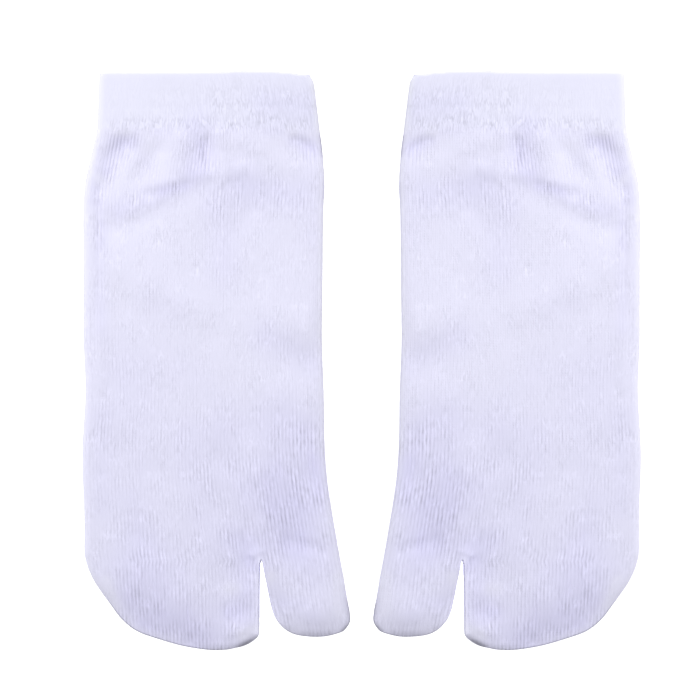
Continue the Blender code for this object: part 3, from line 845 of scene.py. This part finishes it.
class KnitMesh:
    """Points, faces, and for each face corner its place in the knit and the knit's state there.

    The place is a wale, a course and an edge's painted highlight, below 0 its painted shade. The state is
    a share of the cuff, an openness that also carries painted shade, and an amount of flecks.
    """

    def __init__(self):
        self.points = np.zeros((0, 3))
        self.inset = np.zeros(0)
        self.faces = []
        self.knit_place = []
        self.knit_state = []

    def add_faces(self, numbers, place, state, flip):
        self.faces.append(quads(numbers, flip))
        corners = quads(np.arange(numbers.size).reshape(numbers.shape), flip)
        for store, values in ((self.knit_place, place), (self.knit_state, state)):
            values = np.stack([np.broadcast_to(value, numbers.shape) for value in values], axis=-1)
            store.append(values.reshape(-1, 3)[corners])

    def add_skin(self, plans, edge, upper_height, lower_height, inside):
        first = len(self.points)
        upper, first = number_sheet(first, plans)
        lower, first = number_sheet(first, plans, border=upper)
        self.inset = np.append(self.inset, np.zeros(first - len(self.points)))
        self.points = np.vstack([self.points, np.zeros((first - len(self.points), 3))])
        counts = course_counts(plans)
        for stretch, plan in enumerate(plans):
            inset = inset_from(plan, edge)
            plan = plan.copy()
            hump_across, hump_along = WANDER_HUMP
            stray = noise(plan[..., 1] / hump_across, plan[..., 0] / hump_along, WANDER_SEED) * WANDER
            plan[..., 1] += stray * ease(inset, *WANDER_FADE)
            wales = (FIRST_COLUMNS[stretch] + np.arange(plan.shape[1])) / WALE_SAMPLES
            state = knit_state(plan)
            for sheet, height, turned in ((lower, lower_height, True), (upper, upper_height, False)):
                numbers = sheet[stretch]
                self.inset[numbers] = inset
                self.points[numbers] = np.concatenate(
                    [plan[..., 1:], plan[..., :1], height(plan, inset)[..., None]], axis=-1
                )
                around = 2 * WALES - wales if turned else wales
                place = (around, counts[stretch], edge_highlight_and_shade(plan, inset))
                self.add_faces(numbers, place, state, turned != inside)
        return upper, lower

    def cut_grooves(self, upper, lower):
        """Sink the skin between its wales, along its own normals, unevenly."""
        turned = vertex_normals(self.points, np.vstack(self.faces))
        depth_at = np.zeros(len(self.points))
        for sheets, (wale_seed, patch_seed) in zip((lower, upper), GROOVE_SEEDS):
            for stretch, numbers in enumerate(sheets):
                columns = FIRST_COLUMNS[stretch] + np.arange(numbers.shape[1])
                profile = np.array(WALE_PROFILE)[columns % WALE_SAMPLES]
                along = self.points[numbers][..., 1]
                places = np.stack([along, self.points[numbers][..., 0]], axis=-1)
                cuff, openness_and_shade, _ = knit_state(places)
                depth = GROOVE_DEPTH + OPEN_GROOVE_DEPTH * openness_and_shade
                depth *= 1.0 - (1.0 - CUFF_GROOVE_SHARE) * cuff
                wale = np.broadcast_to(columns // WALE_SAMPLES, numbers.shape)
                by_wale = noise(wale * WALE_NOISE_STEP + 0.5, along / WALE_HUMP, wale_seed)
                by_patch = noise(wale / PATCH_WALES, along / PATCH_LENGTH, patch_seed)
                uneven = 1.0 + WALE_UNEVENNESS * by_wale
                uneven *= np.maximum(1.0 + PATCH_UNEVENNESS * by_patch, LEAST_GROOVE_SHARE)
                faded = ease(self.inset[numbers], 0.0, GROOVE_FADE)
                depth_at[numbers] = depth * uneven * faded * (1.0 - profile)
        self.points -= turned * depth_at[:, None]

    def add_rim(self, outer_sheets, inner_sheets):
        """Close the mouth with a half-round fold from the outer skin to the inner one."""
        loops = []
        for upper, lower in (outer_sheets, inner_sheets):
            loops.append(np.concatenate([upper[0][0], lower[0][0][-2::-1]]))
        outside, inside = self.points[loops[0]], self.points[loops[1]]
        centre, half = (outside + inside) / 2, (outside - inside) / 2
        rows = [loops[0]]
        for step in range(1, RIM_STEPS):
            angle = math.pi * step / RIM_STEPS
            ring = centre + half * math.cos(angle)
            ring[:, 1] += CUFF_WALL / 2 * math.sin(angle)
            numbers = len(self.points) + np.arange(len(ring) - 1)
            self.points = np.vstack([self.points, ring[:-1]])
            rows.append(np.append(numbers, numbers[0]))
        rows.append(loops[1])
        numbers = np.array(rows)
        around = np.arange(numbers.shape[1]) / WALE_SAMPLES
        down = -np.arange(len(rows))[:, None] * math.pi * CUFF_WALL / 2 / RIM_STEPS / COURSE
        all_cuff = (1.0, 0.0, 0.0)
        # The mouth's rim gets part of the edges' painted highlight.
        self.add_faces(numbers, (around, down, RIM_HIGHLIGHT), all_cuff, True)


def knit_mesh():
    outer_plans, outer_edge = skin_plan(None, OUTER_ROWS, OUTER_POUCH_ROWS, SPLIT_LEVEL, SIDE_ROLL)
    inner_plans, inner_edge = skin_plan(wall, INNER_ROWS, INNER_POUCH_ROWS, INNER_LEVEL, INNER_ROLL)
    mesh = KnitMesh()
    outer_sheets = mesh.add_skin(outer_plans, outer_edge, upper_face, lower_face, inside=False)
    mesh.cut_grooves(*outer_sheets)
    inner_sheets = mesh.add_skin(inner_plans, inner_edge, hollow_ceiling, hollow_floor, inside=True)
    mesh.add_rim(outer_sheets, inner_sheets)
    return mesh


def add_sock(node, side, mesh, finish):
    """One sock. On the mirrored side each face's corners run the other way round."""
    faces = np.vstack(mesh.faces)[:, ::side]
    data = bpy.data.meshes.new(node + "_knit")
    data.from_pydata((mesh.points * (side * MM, MM, MM)).tolist(), [], faces.tolist())
    for name, values in (("knit_place", mesh.knit_place), ("knit_state", mesh.knit_state)):
        attribute = data.attributes.new(name, "FLOAT_VECTOR", "CORNER")
        attribute.data.foreach_set("vector", np.vstack(values)[:, ::side].reshape(-1).astype(np.float32))
    data.shade_smooth()
    data.materials.append(finish)
    sock = bpy.data.objects.new(node + "_knit", data)
    bpy.context.collection.objects.link(sock)
    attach(sock, "root")
    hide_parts(node)
    return sock


# The materials.

def both_ways(operation):
    """An operator's method and its reflected form. Each adds one Math node."""
    def plain(self, other):
        return self.worked(operation, self, other)

    def reflected(self, other):
        return self.worked(operation, other, self)

    return plain, reflected


class Output:
    """An output of a node. Arithmetic on it adds Math nodes to its material."""

    def __init__(self, material, socket):
        self.material, self.socket = material, socket

    def worked(self, operation, *terms):
        return self.material.add("ShaderNodeMath", {"operation": operation}, dict(enumerate(terms)))

    __add__, __radd__ = both_ways("ADD")
    __sub__, __rsub__ = both_ways("SUBTRACT")
    __mul__, __rmul__ = both_ways("MULTIPLY")
    __truediv__, __rtruediv__ = both_ways("DIVIDE")
    __pow__, __rpow__ = both_ways("POWER")
    __mod__, __rmod__ = both_ways("FLOORED_MODULO")

    def __abs__(self):
        return self.worked("ABSOLUTE", self)

    def cosine(self):
        return self.worked("COSINE", self)

    def at_least(self, other):
        return self.worked("MAXIMUM", self, other)

    def at_most(self, other):
        return self.worked("MINIMUM", self, other)


class Finish:
    """A material, and the one way in which nodes are added to it."""

    def __init__(self, name):
        self.material = bpy.data.materials.new(name)
        self.material.use_nodes = True
        self.nodes = self.material.node_tree.nodes
        self.links = self.material.node_tree.links
        self.shader = self.nodes["Principled BSDF"]

    def add(self, kind, settings=None, inputs=None, output=0):
        """A node with its settings and then its inputs, by name or number; gives one of its outputs."""
        node = self.nodes.new(kind)
        for name, value in (settings or {}).items():
            setattr(node, name, value)
        for name, value in (inputs or {}).items():
            self.join(node.inputs[name], value)
        return Output(self, node.outputs[output])

    def join(self, socket, value):
        if isinstance(value, Output):
            self.links.new(value.socket, socket)
        else:
            socket.default_value = value

    def shade(self, **inputs):
        """Inputs of the shader, its spaces written as underscores."""
        for name, value in inputs.items():
            self.join(self.shader.inputs[name.replace("_", " ")], value)

    def read(self, attribute):
        """The three numbers of a mesh attribute."""
        vector = self.add("ShaderNodeAttribute", {"attribute_name": attribute}, None, "Vector")
        node = self.add("ShaderNodeSeparateXYZ", None, {0: vector}).socket.node
        return [Output(self, output) for output in node.outputs]

    def mix(self, factor, first, second):
        return self.add("ShaderNodeMix", {"data_type": "RGBA"}, {0: factor, 6: first, 7: second}, 2)

    def dimmed(self, colour, share):
        scaled = {"Vector": colour, "Scale": 1.0 - share}
        return self.add("ShaderNodeVectorMath", {"operation": "SCALE"}, scaled)

    def cloud(self, x, y, z):
        """Smooth noise from 0 to 1, with a hump about every unit."""
        place = self.add("ShaderNodeCombineXYZ", None, {0: x, 1: y, 2: z})
        return self.add(
            "ShaderNodeTexNoise", {"noise_dimensions": "3D"},
            {"Vector": place, "Scale": 1.0, "Detail": 1.0, "Roughness": 0.5},
        )


def cotton_knit():
    """Plain knit: on every wale two slanting stitch legs, uneven in height and tone, under a fine nap."""
    finish = Finish("cotton_knit_fine")
    wale, course, edge = finish.read("knit_place")
    cuff, openness_and_shade, fleck = finish.read("knit_state")

    def uneven(name):
        """Unevenness from 0 to 1."""
        for_wale, for_course, cut = UNEVENNESS[name]
        return finish.cloud(wale * for_wale, course * for_course, cut)

    def contrasted(name, times, less, least):
        return (uneven(name) * times - less).at_least(least)

    def curled(unevenness):
        """Thin lines, as of loops that stand out of the cloth."""
        return (1.0 - abs(unevenness) * CURL_FINENESS).at_least(0.0)

    def toned(at_rest, opened):
        return at_rest + openness_and_shade * opened

    across_wale = abs(wale % 1.0 - 0.5)
    leg = (1.0 - ((across_wale - LEG_PLACE) / LEG_HALF_WIDTH) ** 2.0).at_least(0.0)
    between = (across_wale * 2.0) ** BETWEEN_POWER
    turn = (course + across_wale * LEG_SLANT) * (2 * math.pi)
    stitch = turn.cosine() * 0.5 + 0.5
    strand = uneven("strand") - 0.5
    yarn = uneven("yarn") - 0.5
    nap = uneven("nap") - 0.5
    loops = uneven("loops") - 0.5
    hairs = uneven("hairs") - 0.5
    curls = curled(loops) - curled(hairs) * HAIR_SHARE
    patch = contrasted("patch", *PATCH_CONTRAST)
    tuft = contrasted("tuft", *TUFT_CONTRAST)

    foot = 1.0 - cuff
    drawn = foot * (1.0 - CUFF_DRAWN) + CUFF_DRAWN
    legs = leg * (LEG_HEIGHT + stitch * STITCH_HEIGHT) * (1.0 + strand * LEG_UNEVENNESS) * drawn
    height = (legs + strand * STRAND_HEIGHT) * (patch * PATCH_SHARE + (1.0 - PATCH_SHARE))
    height = height + nap * NAP_HEIGHT - fleck * curls * CURL_HEIGHT
    bumps = {"Strength": BUMP_STRENGTH, "Distance": BUMP_DISTANCE, "Height": height}
    bump = finish.add("ShaderNodeBump", None, bumps, "Normal")

    # Painted shade in the grooves between the wales, painted highlight on their tops.
    groove_shade = (between - GROOVE_START) * toned(*GROOVE_SHADE_TONE) * (1.0 + yarn * GROOVE_UNEVENNESS)
    streak = strand * toned(*STRAND_TONE) + yarn * toned(*YARN_TONE)
    knitted = (groove_shade + streak) * drawn * patch
    full_tuft = (tuft - 1.0).at_least(0.0)
    speck = curls * (fleck * tuft * FLECK_TONE - full_tuft * foot * TUFT_TONE)
    # The edge value lightens the cotton as painted highlight, and below 0 darkens it as painted shade.
    dimness = (knitted + speck) * TONE_STRENGTH - edge.at_least(0.0) * EDGE_HIGHLIGHT
    dimness = dimness + (0.0 - edge).at_least(0.0) * PAINTED_EDGE_SHADE
    shade = openness_and_shade * OPEN_SHADE + cuff * CUFF_SHADE + fleck * FLECK_SHADE - edge * EDGE_HIGHLIGHT_SHARE + BASE_SHADE
    pale = finish.mix(cuff, COTTON_PALE, CUFF_PALE)
    tone = finish.mix(shade.at_least(0.0).at_most(1.0), pale, COTTON_SHADE)
    tone = finish.dimmed(tone, dimness.at_least(LEAST_DIMNESS))
    finish.shade(
        Base_Color=tone, Roughness=0.9, Normal=bump, Sheen_Weight=0.45, Sheen_Roughness=0.4,
        Specular_IOR_Level=0.2,
    )
    return finish.material


def floor_white():
    finish = Finish("floor_white")
    finish.shade(
        Base_Color=FLOOR_WHITE, Roughness=1.0, Specular_IOR_Level=0.0,
        Emission_Color=(1.0, 1.0, 1.0, 1.0), Emission_Strength=FLOOR_GLOW,
    )
    return finish.material


# The studio.

def add_floor():
    data = bpy.data.meshes.new("floor")
    half = FLOOR_SIZE / 2
    corners = ((-half, -half), (half, -half), (half, half), (-half, half))
    data.from_pydata([(x, y, FLOOR_HEIGHT) for x, y in corners], [], [(0, 1, 2, 3)])
    data.materials.append(floor_white())
    floor = bpy.data.objects.new("floor", data)
    bpy.context.collection.objects.link(floor)


def aim(thing, target):
    """Turn a light or the camera towards a place."""
    run = np.subtract(target, thing.location)
    flat = math.hypot(run[0], run[1])
    thing.rotation_euler = (math.atan2(flat, -run[2]), 0.0, math.atan2(run[1], run[0]) - math.pi / 2)


def add_light(name, place, target, size, power, lit):
    """An area light on the objects of one collection."""
    data = bpy.data.lights.new(name, "AREA")
    data.shape = "RECTANGLE"
    data.size, data.size_y = size
    data.energy = power
    light = bpy.data.objects.new(name, data)
    light.location = place
    bpy.context.collection.objects.link(light)
    light.light_linking.receiver_collection = lit
    aim(light, target)


def light_sock(sock, side):
    """Light a sock from its own outer side."""
    lit = bpy.data.collections.new(sock.name + "_lit")
    lit.objects.link(sock)
    for name, place, target, size, power in SOCK_LIGHTS:
        place, target = ((side * spot[0], *spot[1:]) for spot in (place, target))
        add_light(sock.name + "_" + name, place, target, size, power, lit)


def add_camera():
    data = bpy.data.cameras.new("camera")
    data.lens, data.sensor_width = CAMERA_LENS, CAMERA_SENSOR
    camera = bpy.data.objects.new("camera", data)
    camera.location = CAMERA_PLACE
    camera.rotation_euler = (0.0, 0.0, 0.0)
    bpy.context.collection.objects.link(camera)
    bpy.context.scene.camera = camera


knit_of_a_sock = knit_mesh()
cotton = cotton_knit()
add_floor()
for sock_node, sock_side in SOCKS.items():
    knit_sock = add_sock(sock_node, sock_side, knit_of_a_sock, cotton)
    light_sock(knit_sock, sock_side)
world = bpy.data.worlds.new("soft_room")
world.use_nodes = True
world.node_tree.nodes["Background"].inputs["Color"].default_value = ROOM_COLOUR
world.node_tree.nodes["Background"].inputs["Strength"].default_value = ROOM_STRENGTH
bpy.context.scene.world = world
bpy.context.scene.view_settings.view_transform = "Standard"
add_camera()
